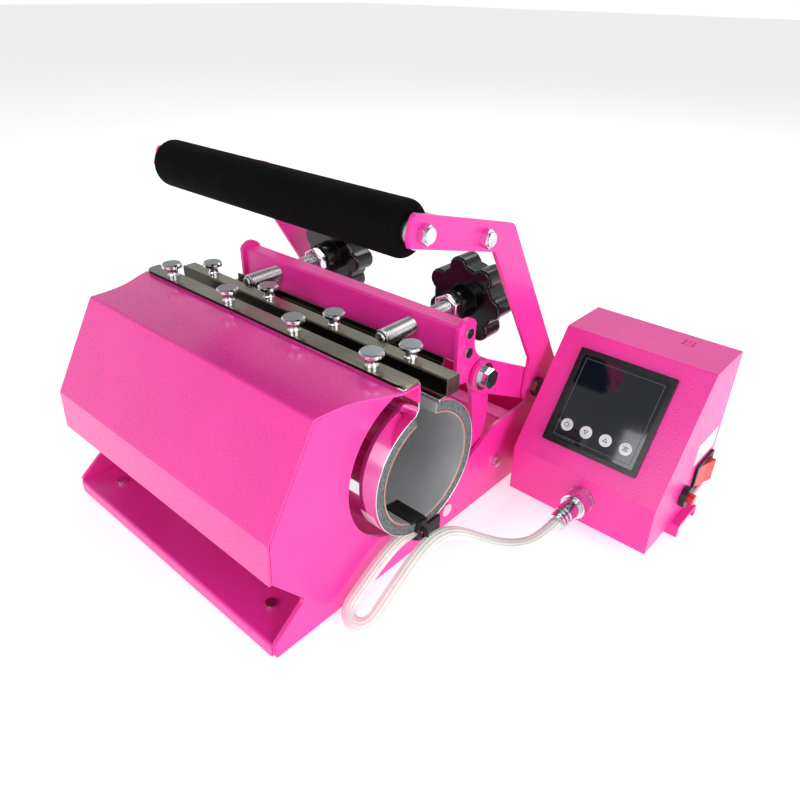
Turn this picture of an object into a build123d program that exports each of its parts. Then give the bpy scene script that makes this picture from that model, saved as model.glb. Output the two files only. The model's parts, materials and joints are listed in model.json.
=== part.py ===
"""Mug heat press: a wrap-around heating mat that a toggle handle closes round a tumbler.

Frame: millimetres, +Z up, the heater axis runs along X. The origin is on the table,
under the middle of the heater axis. +X is the control box side, -Y is the front.
"""
import os
from math import asin, atan2, cos, degrees, hypot, pi, radians, sin, tan

from build123d import *

os.makedirs("parts", exist_ok=True)

# ---- driving dimensions -------------------------------------------------------------
AXIS_Z = 85.0            # height of the heater axis
MAT_HALF = 132.0         # half length of the heating mat
BORE_R = 38.0            # inner radius of the mat when it is closed
BAND_R = 46.4            # outer radius of the steel band
BAND_T = 0.8             # thickness of the steel band
FRONT_GAP_Y = -13.0      # front edge of the slit on top of the mat
REAR_GAP_Y = 8.0         # rear edge of the slit
PATCH_R = 39.2           # recess in the front pad for the patch of the boot
PATCH_ANGLES = (248.0, 269.0)
PATCH_LENGTH = 24.0
HALF_GAP = 0.3           # gap between the two halves of the mat, underneath

PLATE_T = 3.0            # side plates, jaw arms, links and handle arms
SHEET_T = 1.5            # folded sheet
PLATE_X = 117.0          # outer face of the side plates
ARM_X = 113.0            # outer face of the jaw arms
LINK_X = 116.6           # outer face of the links
HANDLE_X = 120.3         # outer face of the handle arms

PLATE_BOTTOM = 2.0
JAW_PIVOT = (40.6, 19.3)       # (Y, Z) of the jaw hinge
LINK_FRONT = (76.2, 114.4)     # joint of link and jaw arm
LINK_REAR = (142.7, 80.3)      # joint of link and handle
HANDLE_PIVOT = (171.0, 66.0)   # hinge of the handle
GRIP_AXIS = (1.8, 231.2)
TIE_ROD = (59.1, 215.8)
RUNNING_FIT = 0.05             # radial clearance of a turning pin

CLAMP_TOP = 151.0        # top face of the front cover
STRIP_T = 2.0
SCREW_XS = (-102.4, -34.3, 34.3, 102.4)   # thumb screws along each clamp bar
FRONT_SCREW_Y = -18.5
REAR_SCREW_Y = 16.0
THUMB_SHANK_R = 2.5
THUMB_HOLE_R = 2.55

BAR_HALF = 136.0         # half length of the rear clamp bar
BAR_Y = (10.0, 22.0)
BAR_Z = (134.0, 146.0)

PUSHER_Y = (53.0, 67.0)
PUSHER_Z = (130.5, 156.5)
PUSHER_HALF = 110.0
STUD_X = 70.0
STUD_Z = 145.5
STUD_R = 6.0             # M12 thread
STUD_END_Y = 128.0

BOX_X = (131.4, 241.9)   # control box
BOX_FRONT = 104.6
BOX_BACK = 209.0
BOX_BOTTOM = 10.6
LIP_TOP = 48.3
SLOPE_TOP = (161.6, 128.6)
PANEL_X = 185.2          # middle of the display along X
PANEL_SIZE = 72.0
CONNECTOR_X = 190.5
CONNECTOR_Z = 31.4
BUTTON_PLACES = ((-22.5, -20.2), (-7.5, -20.2), (7.5, -20.2), (22.5, -20.2))   # on the slope
ROCKER_PLACE = (190.0, 34.5)   # (Y, Z) on the right side of the box
RESET_PLACE = (158.5, 30.5)
ROCKER_AXIS_X = BOX_X[1] - 4.0
BUZZER_PLACE = (209.3, 193.7)  # (X, Y) under the top of the box
INLET_PLACE = (165.0, 40.0)    # (X, Z) on the back of the box

BUTTON_R = 4.5
GRIP_X = (-115.5, 113.0)       # ends of the foam on the grip tube
GRIP_R = 16.0
GRIP_TUBE_R = 9.5
HANDLE_BOLT_R = 3.0            # M6 bolts of the grip tube and the tie rod
FEET_X = (-90.0, 90.0)
FEET_Y = (-97.0, 150.0)
PANEL_SCREW = (102.4, 29.8)    # (Y, Z) of the screw at the front of the rear panel
JAW_SCREWS = ((59.0, 152.0), (59.2, 138.0))   # (Y, Z) of the screws into the pusher bar
BUSH_R = 8.5                   # welded bush round each stud

PLUG_END = BOX_FRONT - 36.0

CABLE_D = 9.0
CABLE_POINTS = [
    (CONNECTOR_X, PLUG_END, CONNECTOR_Z),
    (CONNECTOR_X, 57.0, CONNECTOR_Z),
    (186.0, 45.0, 27.0),
    (174.0, 38.0, 22.0),
    (161.0, 31.0, 22.5),
    (150.0, 21.0, 29.0),
    (144.5, 8.0, 35.5),
    (143.5, -6.0, 37.4),
    (144.2, -20.0, 35.0),
    (144.8, -35.0, 27.6),
    (145.2, -51.0, 18.2),
    (145.2, -66.0, 8.9),
    (135.0, -71.0, 5.9),
    (124.8, -66.0, 9.2),
    (125.2, -51.0, 18.9),
    (125.4, -36.0, 28.4),
    (125.6, -21.0, 34.4),
    (125.8, -8.0, 33.8),
    (125.8, 2.0, 33.8),
]


def save(part, name):
    """Label a finished piece and write it as parts/NAME.step."""
    part.label = name
    export_step(part, f"parts/{name}.step")


def side_name(side):
    return "right" if side > 0 else "left"


def slab_start(side, outer, thickness):
    """X where a flat plate starts, for a plate whose outer face is at side * outer."""
    return outer - thickness if side > 0 else -outer


def side_plane(x):
    """Sketch plane across X: local x is Y, local y is Z, extrusion goes to +X."""
    return Plane.YZ.offset(x)


def mat_point(radius, angle):
    """Point (Y, Z) on a circle about the heater axis, angle in degrees from +Y."""
    return (radius * cos(radians(angle)), AXIS_Z + radius * sin(radians(angle)))


# ---- frame ---------------------------------------------------------------------------
def base_pan():
    front = -PLATE_X
    half = PLATE_X - PLATE_T
    with BuildPart() as pan:
        with BuildSketch(side_plane(-half)):
            with BuildLine():
                FilletPolyline((front, PLATE_BOTTOM), (front, 12.0), (20.0, 12.0), (20.0, 5.0), radius=2.0)
                offset(amount=SHEET_T, side=Side.RIGHT)
            make_face()
        extrude(amount=2 * half)
        with Locations(*[(x, FEET_Y[0], 12.0) for x in FEET_X]):
            Hole(2.1)
    save(pan.part, "base_pan")


def side_plate(side):
    notch_centre = (1.1, 84.8)
    notch_r = 54.9
    boss_r = 14.0
    top = CLAMP_TOP - SHEET_T - 0.3

    def notch_point(angle):
        return (notch_centre[0] + notch_r * cos(radians(angle)),
                notch_centre[1] + notch_r * sin(radians(angle)))

    hy, hz = HANDLE_PIVOT
    upper = notch_point(105)
    lower = notch_point(-60)
    with BuildPart() as plate:
        with BuildSketch(side_plane(slab_start(side, PLATE_X, PLATE_T))):
            with BuildLine():
                Polyline((-115.4, 2.0), (-115.4, 12.7), (-114.0, 14.3), (-95.0, 29.0))
                ThreePointArc((-95.0, 29.0), (-92.6, 33.0), (-95.0, 37.0))
                Polyline((-95.0, 37.0), (-113.3, 60.4), (-111.9, 88.3), (-75.6, top), (-14.5, top), upper)
                ThreePointArc(upper, notch_point(200), lower)
                Polyline(lower, (63.8, 49.0), (77.1, 54.5))
                Spline((77.1, 54.5), (90.5, 61.4), (104.0, 64.4),
                       tangents=[(13.3, 6.5), (1.0, 0.1)])
                Line((104.0, 64.4), (hy - boss_r, 65.5))
                ThreePointArc((hy - boss_r, 65.5), (hy, hz + boss_r), (hy + boss_r, hz))
                Polyline((hy + boss_r, hz), (188.0, 50.0), (188.0, 2.0), (-115.4, 2.0))
            make_face()
            with Locations(HANDLE_PIVOT):
                Circle(5.0, mode=Mode.SUBTRACT)
            with Locations(JAW_PIVOT):
                Circle(4.0, mode=Mode.SUBTRACT)
            with Locations(PANEL_SCREW):
                Circle(2.5, mode=Mode.SUBTRACT)
        extrude(amount=PLATE_T)
    save(plate.part, f"{side_name(side)}_side_plate")


def front_cover():
    """Folded front cover: its top flares out to the length of the mat at the clamp."""
    flare = 133.0
    with BuildPart() as cover:
        with BuildSketch(side_plane(-flare)):
            with BuildLine():
                FilletPolyline((-115.2, 60.4), (-113.8, 88.8), (-76.7, CLAMP_TOP),
                               (-10.6, CLAMP_TOP), (-10.6, 139.0), radius=2.5)
                offset(amount=SHEET_T, side=Side.RIGHT)
            make_face()
        extrude(amount=2 * flare)
        with BuildSketch(Plane.XY, mode=Mode.PRIVATE) as plan:
            with BuildLine():
                for side in (-1, 1):
                    Line((side * PLATE_X, -120.0), (side * PLATE_X, -75.0))
                    Spline((side * PLATE_X, -75.0), (side * 122.0, -46.0), (side * flare, -24.0),
                           tangents=[(0, 1), (side * 0.35, 1)])
                    Line((side * flare, -24.0), (side * flare, -5.0))
                Line((-PLATE_X, -120.0), (PLATE_X, -120.0))
                Line((-flare, -5.0), (flare, -5.0))
            make_face()
        extrude(plan.sketch, amount=200.0, mode=Mode.INTERSECT)
        with Locations(*[(x, FRONT_SCREW_Y, CLAMP_TOP) for x in SCREW_XS]):
            Hole(THUMB_HOLE_R)
    save(cover.part, "front_cover")


def rear_panel():
    half = PLATE_X - PLATE_T
    with BuildPart() as panel:
        with BuildSketch(side_plane(-half)):
            with BuildLine():
                FilletPolyline((122.0, 63.5), (108.5, 63.5), (108.5, 10.5), (184.0, 10.5), (184.0, 46.0),
                               radius=2.0)
                offset(amount=SHEET_T, side=Side.LEFT)
            make_face()
        extrude(amount=2 * half)
        for x in (-half, half - SHEET_T):
            with BuildSketch(side_plane(x)):
                with Locations((102.5, 30.0)):
                    Rectangle(15.0, 24.0)
                with Locations(PANEL_SCREW):
                    Circle(2.5, mode=Mode.SUBTRACT)
            extrude(amount=SHEET_T)
        with Locations(*[(x, FEET_Y[1], 12.0) for x in FEET_X]):
            Hole(2.1)
    save(panel.part, "rear_panel")


def rubber_feet():
    places = [(x, y) for x in FEET_X for y in FEET_Y]
    with BuildPart() as feet:
        with BuildSketch():
            with Locations(*places):
                Circle(9.0)
        extrude(amount=10.4, taper=3)
        with Locations(*[(x, y, 10.4) for x, y in places]):
            CounterBoreHole(1.6, 1.7, 0.1, depth=8.0)
    save(feet.part, "rubber_feet")


def frame_screws():
    """Four screws that hold the feet and two that hold the rear panel."""
    with BuildPart() as screws:
        for x in (-90.0, 90.0):
            for y in FEET_Y:
                with BuildSketch(Plane.XY.offset(12.0)):
                    with Locations((x, y)):
                        Circle(3.8)
                extrude(amount=2.0)
                with BuildSketch(Plane.XY.offset(3.0)):
                    with Locations((x, y)):
                        Circle(1.5)
                extrude(amount=9.0)
        for side in (-1, 1):
            with BuildSketch(side_plane(slab_start(side, PLATE_X + 3.0, 3.0))):
                with Locations(PANEL_SCREW):
                    Circle(4.8)
            extrude(amount=3.0)
            with BuildSketch(side_plane(slab_start(side, PLATE_X, 9.0))):
                with Locations(PANEL_SCREW):
                    Circle(2.4)
            extrude(amount=9.0)
    save(screws.part, "frame_screws")


# ---- clamps --------------------------------------------------------------------------
def front_clamp_bar():
    with BuildPart() as bar:
        with BuildSketch(Plane.XY.offset(CLAMP_TOP + BAND_T)):
            with Locations((0.0, -18.2)):
                Rectangle(2 * 132.5, 12.6)
        extrude(amount=STRIP_T)
        fillet(bar.edges().filter_by(Axis.Z).group_by(Axis.Y)[0], radius=7.0)
        with Locations(*[(x, FRONT_SCREW_Y, CLAMP_TOP + BAND_T + STRIP_T) for x in SCREW_XS]):
            Hole(THUMB_HOLE_R)
    save(bar.part, "front_clamp_bar")


def rear_clamp_bar():
    with BuildPart() as bar:
        with BuildSketch(side_plane(-BAR_HALF)):
            with Locations(((BAR_Y[0] + BAR_Y[1]) / 2, (BAR_Z[0] + BAR_Z[1]) / 2)):
                Rectangle(BAR_Y[1] - BAR_Y[0], BAR_Z[1] - BAR_Z[0])
        extrude(amount=2 * BAR_HALF)
        chamfer(bar.edges().filter_by(Axis.X), length=0.8)
        with Locations(*[(x, REAR_SCREW_Y, BAR_Z[1]) for x in SCREW_XS]):
            Hole(THUMB_HOLE_R)
    save(bar.part, "rear_clamp_bar")


def rear_clamp_channel():
    """Folded steel channel under the rear clamp bar, with an upturned lip behind it."""
    with BuildPart() as channel:
        with BuildSketch(side_plane(-108.0)):
            with BuildLine():
                FilletPolyline((9.0, BAR_Z[0]), (42.0, BAR_Z[0]), (42.0, 138.4), radius=0.6)
                offset(amount=SHEET_T, side=Side.RIGHT)
            make_face()
        extrude(amount=216.0)
        with Locations(*[(x, REAR_SCREW_Y, BAR_Z[0]) for x in SCREW_XS]):
            Hole(THUMB_HOLE_R)
    save(channel.part, "rear_clamp_channel")


def thumb_screw(x, y, seat, shank, name):
    """Chromed thumb screw: a flat head on a waisted stem, with a plain round shank below."""
    head_r = 7.5
    foot_r = 4.4
    waist_r = 3.6
    neck_r = 4.4
    with BuildPart() as screw:
        with BuildSketch(Plane.XZ.offset(-y)):
            with BuildLine():
                Polyline((x, seat - shank), (x + THUMB_SHANK_R, seat - shank), (x + THUMB_SHANK_R, seat),
                         (x + foot_r, seat), (x + foot_r, seat + 1.6))
                ThreePointArc((x + foot_r, seat + 1.6), (x + waist_r, seat + 3.6), (x + neck_r, seat + 6.0))
                Polyline((x + neck_r, seat + 6.0), (x + head_r, seat + 7.6), (x + head_r, seat + 9.4),
                         (x + head_r - 1.0, seat + 10.4), (x, seat + 10.4), (x, seat - shank))
            make_face()
        revolve(axis=Axis((x, y, 0), (0, 0, 1)))
    save(screw.part, name)


# ---- heating mat ----------------------------------------------------------------------
def ring_sector(outer, inner, start, end, x_start, length):
    """A bent strip about the heater axis, from angle start to angle end in degrees."""
    with BuildPart() as strip:
        with BuildSketch(side_plane(x_start)):
            with BuildLine():
                CenterArc((0, AXIS_Z), outer, start, end - start)
                CenterArc((0, AXIS_Z), inner, start, end - start)
                Line(mat_point(outer, start), mat_point(inner, start))
                Line(mat_point(outer, end), mat_point(inner, end))
            make_face()
        extrude(amount=length)
    return strip.part


def band_end_angles():
    front = 90.0 + degrees(asin(-FRONT_GAP_Y / BAND_R))
    rear = 90.0 - degrees(asin(REAR_GAP_Y / BAND_R))
    return front, rear


def front_mat_band():
    """Steel band of the front half, with the tab that folds forward under the clamp strip."""
    front, _ = band_end_angles()
    inner = BAND_R - BAND_T
    bottom = 270.0
    tab_front = -24.0
    tab_rear = -9.6
    fold_top = CLAMP_TOP + BAND_T
    start = mat_point(BAND_R, front)
    start_inner = mat_point(inner, front)
    with BuildPart() as band:
        with BuildSketch(side_plane(-MAT_HALF)):
            with BuildLine():
                CenterArc((0, AXIS_Z), BAND_R, front, bottom - front)
                CenterArc((0, AXIS_Z), inner, front, bottom - front)
                Line(mat_point(BAND_R, bottom), mat_point(inner, bottom))
                Polyline(start, (tab_rear - BAND_T, 132.0), (tab_rear - BAND_T, CLAMP_TOP),
                         (tab_front, CLAMP_TOP), (tab_front, fold_top), (tab_rear, fold_top),
                         (tab_rear, 131.0), start_inner)
            make_face()
        extrude(amount=2 * MAT_HALF)
        with Locations(*[(x, FRONT_SCREW_Y, fold_top) for x in SCREW_XS]):
            Hole(THUMB_HOLE_R, depth=2.0)
    save(band.part, "front_mat_band")


def rear_mat_band():
    """Steel band of the rear half, with the flat tab under the rear clamp bar."""
    _, rear = band_end_angles()
    inner = BAND_R - BAND_T
    bottom = -90.0 + degrees(HALF_GAP / BAND_R)
    tab_z = AXIS_Z + BAND_R * cos(asin(REAR_GAP_Y / BAND_R))
    start = mat_point(BAND_R, rear)
    with BuildPart() as band:
        with BuildSketch(side_plane(-MAT_HALF)):
            with BuildLine():
                CenterArc((0, AXIS_Z), BAND_R, bottom, rear - bottom)
                CenterArc((0, AXIS_Z), inner, bottom, rear - bottom)
                Line(mat_point(BAND_R, bottom), mat_point(inner, bottom))
                Polyline(start, (24.0, tab_z), (24.0, tab_z + BAND_T), (REAR_GAP_Y - 1.0, tab_z + BAND_T),
                         mat_point(inner, rear))
            make_face()
        extrude(amount=2 * MAT_HALF)
    save(band.part, "rear_mat_band")


def heating_pads():
    """Both pads; the front one has a shallow recess for the patch of the lead's boot."""
    front, rear = band_end_angles()
    outer = BAND_R - BAND_T
    bottom_gap = degrees(HALF_GAP / BAND_R)
    with BuildPart() as front_pad:
        add(ring_sector(outer, BORE_R, front, 270.0, -MAT_HALF, 2 * MAT_HALF))
        add(ring_sector(PATCH_R, BORE_R - 1.0, *PATCH_ANGLES, MAT_HALF - PATCH_LENGTH, PATCH_LENGTH + 1.0),
            mode=Mode.SUBTRACT)
    save(front_pad.part, "front_heating_pad")
    rear_pad = ring_sector(outer, BORE_R, -90.0 + bottom_gap, rear, -MAT_HALF, 2 * MAT_HALF)
    save(rear_pad, "rear_heating_pad")


def lead_boot():
    """Black boot of the heater lead: a flush patch inside the mat, an end cap and a block below."""
    start, end = PATCH_ANGLES
    bore = BORE_R + 0.05
    cap_t = 2.5
    gap = 0.1
    block_x = 119.6
    block_place = (7.5, 33.8)
    with BuildPart() as boot:
        add(ring_sector(PATCH_R - gap, bore, start + gap, end - gap, MAT_HALF - PATCH_LENGTH + gap,
                        PATCH_LENGTH + 0.3))
        add(ring_sector(BAND_R - 0.6, bore, start + 8.0, end, MAT_HALF, cap_t))
        with BuildSketch(side_plane(MAT_HALF + 0.4)):
            with Locations((5.0, 35.3)):
                Rectangle(16.0, 11.6)
        extrude(amount=cap_t - 0.4)
        with BuildSketch(side_plane(block_x)):
            with Locations(block_place):
                Rectangle(11.0, 8.6)
        extrude(amount=MAT_HALF + cap_t - block_x)
    save(boot.part, "lead_boot")


# ---- jaw ------------------------------------------------------------------------------
def jaw_arm(side):
    py, pz = JAW_PIVOT
    with BuildPart() as arm:
        with BuildSketch(side_plane(slab_start(side, ARM_X, PLATE_T))):
            with BuildLine():
                Line((50.2, 130.6), (50.3, 156.0))
                ThreePointArc((50.3, 156.0), (59.5, 161.3), (68.7, 156.0))
                Line((68.7, 156.0), (68.3, 142.7))
                Spline((68.3, 142.7), (76.2, 128.0), (89.0, 97.1), (90.5, 75.0), (80.0, 48.9),
                       tangents=[(0, -1), (-0.7, -1)])
                Line((80.0, 48.9), (py + 8.0, pz - 7.6))
                ThreePointArc((py + 8.0, pz - 7.6), (py - 8.0, pz - 7.6), (py - 7.3, pz + 8.3))
                Spline((py - 7.3, pz + 8.3), (62.0, 43.0), (72.9, 62.0), (71.2, 89.9), (62.8, 113.4),
                       (50.2, 130.6), tangents=[(1, 0.55), (0, 1)])
            make_face()
            with Locations(JAW_PIVOT):
                Circle(4.0 + RUNNING_FIT, mode=Mode.SUBTRACT)
            with Locations(*JAW_SCREWS):
                Circle(2.5, mode=Mode.SUBTRACT)
        extrude(amount=PLATE_T)
    save(arm.part, f"{side_name(side)}_jaw_arm")


def pusher_bar():
    """Box bar between the jaw arms, with a threaded bush welded in for each stud."""
    wall = 2.0
    depth = PUSHER_Y[1] - PUSHER_Y[0]
    height = PUSHER_Z[1] - PUSHER_Z[0]
    middle = (sum(PUSHER_Y) / 2, sum(PUSHER_Z) / 2)
    with BuildPart() as bar:
        with BuildSketch(side_plane(-PUSHER_HALF)):
            with Locations(middle):
                RectangleRounded(depth, height, 1.8)
        extrude(amount=2 * PUSHER_HALF)
        with BuildSketch(side_plane(-PUSHER_HALF + wall)):
            with Locations(middle):
                Rectangle(depth - 2 * wall, height - 2 * wall)
        extrude(amount=2 * (PUSHER_HALF - wall), mode=Mode.SUBTRACT)
        for x in (-STUD_X, STUD_X):
            with BuildSketch(Plane.XZ.offset(-PUSHER_Y[1])):
                with Locations((x, STUD_Z)):
                    Circle(BUSH_R)
            extrude(amount=depth)
            with BuildSketch(Plane.XZ.offset(-PUSHER_Y[1] - 1.0)):
                with Locations((x, STUD_Z)):
                    Circle(STUD_R + RUNNING_FIT)
            extrude(amount=depth + 2.0, mode=Mode.SUBTRACT)
        for x in (-PUSHER_HALF, PUSHER_HALF - wall):
            with BuildSketch(side_plane(x)):
                with Locations(*JAW_SCREWS):
                    Circle(2.5)
            extrude(amount=wall, mode=Mode.SUBTRACT)
    save(bar.part, "pusher_bar")


def jaw_screws():
    with BuildPart() as screws:
        for side in (-1, 1):
            with BuildSketch(side_plane(slab_start(side, ARM_X + 2.8, 2.8))):
                with Locations(*JAW_SCREWS):
                    Circle(3.7)
            extrude(amount=2.8)
            with BuildSketch(side_plane(slab_start(side, ARM_X, 7.0))):
                with Locations(*JAW_SCREWS):
                    Circle(2.45)
            extrude(amount=7.0)
    save(screws.part, "jaw_screws")


def stud(side):
    """M12 stud with its jam nut, which is locked against the hub of the knob."""
    x = side * STUD_X
    with BuildPart() as rod:
        with BuildSketch(Plane.XZ.offset(-STUD_END_Y)):
            with Locations((x, STUD_Z)):
                Circle(STUD_R)
        extrude(amount=STUD_END_Y - BAR_Y[1])
        chamfer(rod.edges().group_by(Axis.Y)[0], length=1.4)
    with BuildPart() as nut:
        with BuildSketch(Plane.XZ.offset(-98.0)):
            with Locations((x, STUD_Z)):
                RegularPolygon(9.5, 6, major_radius=False, rotation=30)
                Circle(STUD_R, mode=Mode.SUBTRACT)
        extrude(amount=8.0)
    pair = Compound(children=[rod.part, nut.part])
    save(pair, f"{side_name(side)}_stud")


def star_knob(side):
    """Seven-lobed knob with a hub towards the jam nut."""
    x = side * STUD_X
    lobes = 7
    with BuildPart() as knob:
        with BuildSketch(Plane.XZ.offset(-130.0)):
            with Locations((x, STUD_Z)):
                Circle(26.3)
                with PolarLocations(24.5, lobes):
                    Circle(8.2)
                with PolarLocations(36.0, lobes, start_angle=180 / lobes):
                    Circle(9.6, mode=Mode.SUBTRACT)
        extrude(amount=20.0)
        fillet(knob.edges().group_by(Axis.Y)[-1], radius=3.0)
        fillet(knob.edges().group_by(Axis.Y)[0], radius=2.0)
        with BuildSketch(Plane.XZ.offset(-110.0)):
            with Locations((x, STUD_Z)):
                Circle(13.0)
        extrude(amount=12.0, taper=6)
        with BuildSketch(Plane.XZ.offset(-STUD_END_Y)):
            with Locations((x, STUD_Z)):
                Circle(STUD_R)
        extrude(amount=40.0, mode=Mode.SUBTRACT)
    save(knob.part, f"{side_name(side)}_star_knob")


# ---- links ----------------------------------------------------------------------------
def link_turn():
    """Slope of the link, in degrees."""
    return degrees(atan2(LINK_REAR[1] - LINK_FRONT[1], LINK_REAR[0] - LINK_FRONT[0]))


def links():
    length = hypot(LINK_REAR[0] - LINK_FRONT[0], LINK_REAR[1] - LINK_FRONT[1])
    middle = ((LINK_REAR[0] + LINK_FRONT[0]) / 2, (LINK_REAR[1] + LINK_FRONT[1]) / 2)
    with BuildPart() as pair:
        for side in (-1, 1):
            with BuildSketch(side_plane(slab_start(side, LINK_X, PLATE_T))):
                with Locations(middle):
                    SlotCenterToCenter(length, 24.0, rotation=link_turn())
                with Locations(LINK_FRONT, LINK_REAR):
                    Circle(4.0, mode=Mode.SUBTRACT)
            extrude(amount=PLATE_T)
    save(pair.part, "links")


def link_shaft():
    """Cross shaft through both links and both handle arms, with a nut at each end."""
    reach = HANDLE_X + 0.3
    inner = LINK_X - PLATE_T
    with BuildPart() as shaft:
        with BuildSketch(side_plane(-inner)):
            with Locations(LINK_REAR):
                Circle(6.0)
        extrude(amount=2 * inner)
        with BuildSketch(side_plane(-reach)):
            with Locations(LINK_REAR):
                Circle(4.0)
        extrude(amount=2 * reach)
        for side in (-1, 1):
            with BuildSketch(side_plane(slab_start(side, reach + 4.5, 4.5))):
                with Locations(LINK_REAR):
                    RegularPolygon(6.5, 6, major_radius=False)
            extrude(amount=4.5)
    save(shaft.part, "link_shaft")


def link_bolts():
    """Bolt, washer and hex head at the front end of each link."""
    with BuildPart() as bolts:
        for side in (-1, 1):
            for radius, outer, thickness in ((4.0, LINK_X, PLATE_T), (10.0, LINK_X + 1.5, 1.5)):
                with BuildSketch(side_plane(slab_start(side, outer, thickness))):
                    with Locations(LINK_FRONT):
                        Circle(radius)
                extrude(amount=thickness)
            with BuildSketch(side_plane(slab_start(side, LINK_X + 7.5, 6.0))):
                with Locations(LINK_FRONT):
                    RegularPolygon(6.5, 6, major_radius=False, rotation=12)
            extrude(amount=6.0)
    save(bolts.part, "link_bolts")


# ---- handle ---------------------------------------------------------------------------
def handle_arm(side):
    ly, lz = LINK_REAR
    hy, hz = HANDLE_PIVOT
    with BuildPart() as arm:
        with BuildSketch(side_plane(slab_start(side, HANDLE_X, PLATE_T))):
            with BuildLine():
                Polyline((-9.5, 231.5), (-4.6, 243.3), (90.8, 217.9), (163.0, 103.8), (hy + 12.0, hz + 7.2))
                ThreePointArc((hy + 12.0, hz + 7.2), (hy + 4.5, hz - 13.2), (hy - 8.0, hz - 11.5))
                Line((hy - 8.0, hz - 11.5), (ly - 6.5, lz - 12.4))
                ThreePointArc((ly - 6.5, lz - 12.4), (ly - 13.6, lz - 3.2), (ly - 13.2, lz + 4.7))
                Polyline((ly - 13.2, lz + 4.7), (130.8, 107.9), (72.1, 203.9), (-7.5, 225.1), (-9.5, 231.5))
            make_face()
            with Locations(LINK_REAR):
                Circle(4.0 + RUNNING_FIT, mode=Mode.SUBTRACT)
            with Locations(HANDLE_PIVOT):
                Circle(5.0 + RUNNING_FIT, mode=Mode.SUBTRACT)
            with Locations(GRIP_AXIS, TIE_ROD):
                Circle(HANDLE_BOLT_R, mode=Mode.SUBTRACT)
        extrude(amount=PLATE_T)
        corner = arm.edges().filter_by(Axis.X).sort_by_distance((0, 90.8, 217.9))[0]
        fillet(corner, radius=9.0)
        front_corners = arm.edges().filter_by(Axis.X).sort_by_distance((0, -4.6, 243.3))[0]
        fillet(front_corners, radius=3.5)
    save(arm.part, f"{side_name(side)}_handle_arm")


def grip_tube():
    inner = HANDLE_X - PLATE_T
    with BuildPart() as tube:
        with BuildSketch(side_plane(-inner)):
            with Locations(GRIP_AXIS):
                Circle(GRIP_TUBE_R)
                Circle(HANDLE_BOLT_R, mode=Mode.SUBTRACT)
        extrude(amount=2 * inner)
    save(tube.part, "grip_tube")


def foam_grip():
    length = GRIP_X[1] - GRIP_X[0]
    with BuildPart() as foam:
        with BuildSketch(side_plane(GRIP_X[0])):
            with Locations(GRIP_AXIS):
                Circle(GRIP_R)
        extrude(amount=length)
        fillet(foam.edges(), radius=6.0)
        with BuildSketch(side_plane(GRIP_X[0])):
            with Locations(GRIP_AXIS):
                Circle(GRIP_TUBE_R)
        extrude(amount=length, mode=Mode.SUBTRACT)
    save(foam.part, "foam_grip")


def tie_rod():
    inner = HANDLE_X - PLATE_T
    with BuildPart() as rod:
        with BuildSketch(side_plane(-inner)):
            with Locations(TIE_ROD):
                Circle(6.0)
                Circle(HANDLE_BOLT_R, mode=Mode.SUBTRACT)
        extrude(amount=2 * inner)
    save(rod.part, "tie_rod")


def handle_bolts():
    """M6 bolts with lock nuts that hold the grip tube and the tie rod between the arms."""
    nut_t = 4.6
    collar_t = 1.4
    with BuildPart() as bolts:
        for place in (GRIP_AXIS, TIE_ROD):
            for side in (-1, 1):
                rows = ((HANDLE_BOLT_R, HANDLE_X, 20.0), (4.3, HANDLE_X + nut_t + collar_t, collar_t))
                for radius, outer, thickness in rows:
                    with BuildSketch(side_plane(slab_start(side, outer, thickness))):
                        with Locations(place):
                            Circle(radius)
                    extrude(amount=thickness)
                with BuildSketch(side_plane(slab_start(side, HANDLE_X + nut_t, nut_t))):
                    with Locations(place):
                        RegularPolygon(5.0, 6, major_radius=False, rotation=20)
                extrude(amount=nut_t)
    save(bolts.part, "handle_bolts")


def handle_pivot_bolts():
    with BuildPart() as bolts:
        for side in (-1, 1):
            with BuildSketch(side_plane(slab_start(side, HANDLE_X + 0.4, 12.4))):
                with Locations(HANDLE_PIVOT):
                    Circle(5.0)
            extrude(amount=12.4)
            with BuildSketch(side_plane(slab_start(side, HANDLE_X + 6.4, 6.0))):
                with Locations(HANDLE_PIVOT):
                    RegularPolygon(8.0, 6, major_radius=False)
            extrude(amount=6.0)
            with BuildSketch(side_plane(slab_start(side, PLATE_X - PLATE_T, 6.0))):
                with Locations(HANDLE_PIVOT):
                    RegularPolygon(8.0, 6, major_radius=False)
            extrude(amount=6.0)
    save(bolts.part, "handle_pivot_bolts")


def jaw_pivot_bolts():
    with BuildPart() as bolts:
        for side in (-1, 1):
            with BuildSketch(side_plane(slab_start(side, PLATE_X, 7.4))):
                with Locations(JAW_PIVOT):
                    Circle(4.0)
            extrude(amount=7.4)
            with BuildSketch(side_plane(slab_start(side, PLATE_X + 2.8, 2.8))):
                with Locations(JAW_PIVOT):
                    Circle(5.0)
            extrude(amount=2.8)
            with BuildSketch(side_plane(slab_start(side, PLATE_X - 7.4, 4.5))):
                with Locations(JAW_PIVOT):
                    RegularPolygon(6.5, 6, major_radius=False)
            extrude(amount=4.5)
    save(bolts.part, "jaw_pivot_bolts")


# ---- control box ------------------------------------------------------------------------
def slope_plane():
    """Plane on the sloped panel: origin at the middle of its display, x along +X."""
    rise = SLOPE_TOP[1] - LIP_TOP
    run = SLOPE_TOP[0] - BOX_FRONT
    length = hypot(run, rise)
    along = 50.5 / length
    origin = (PANEL_X, BOX_FRONT + along * run, LIP_TOP + along * rise)
    return Plane(origin=origin, x_dir=(1, 0, 0), z_dir=(0, -rise / length, run / length))


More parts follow.
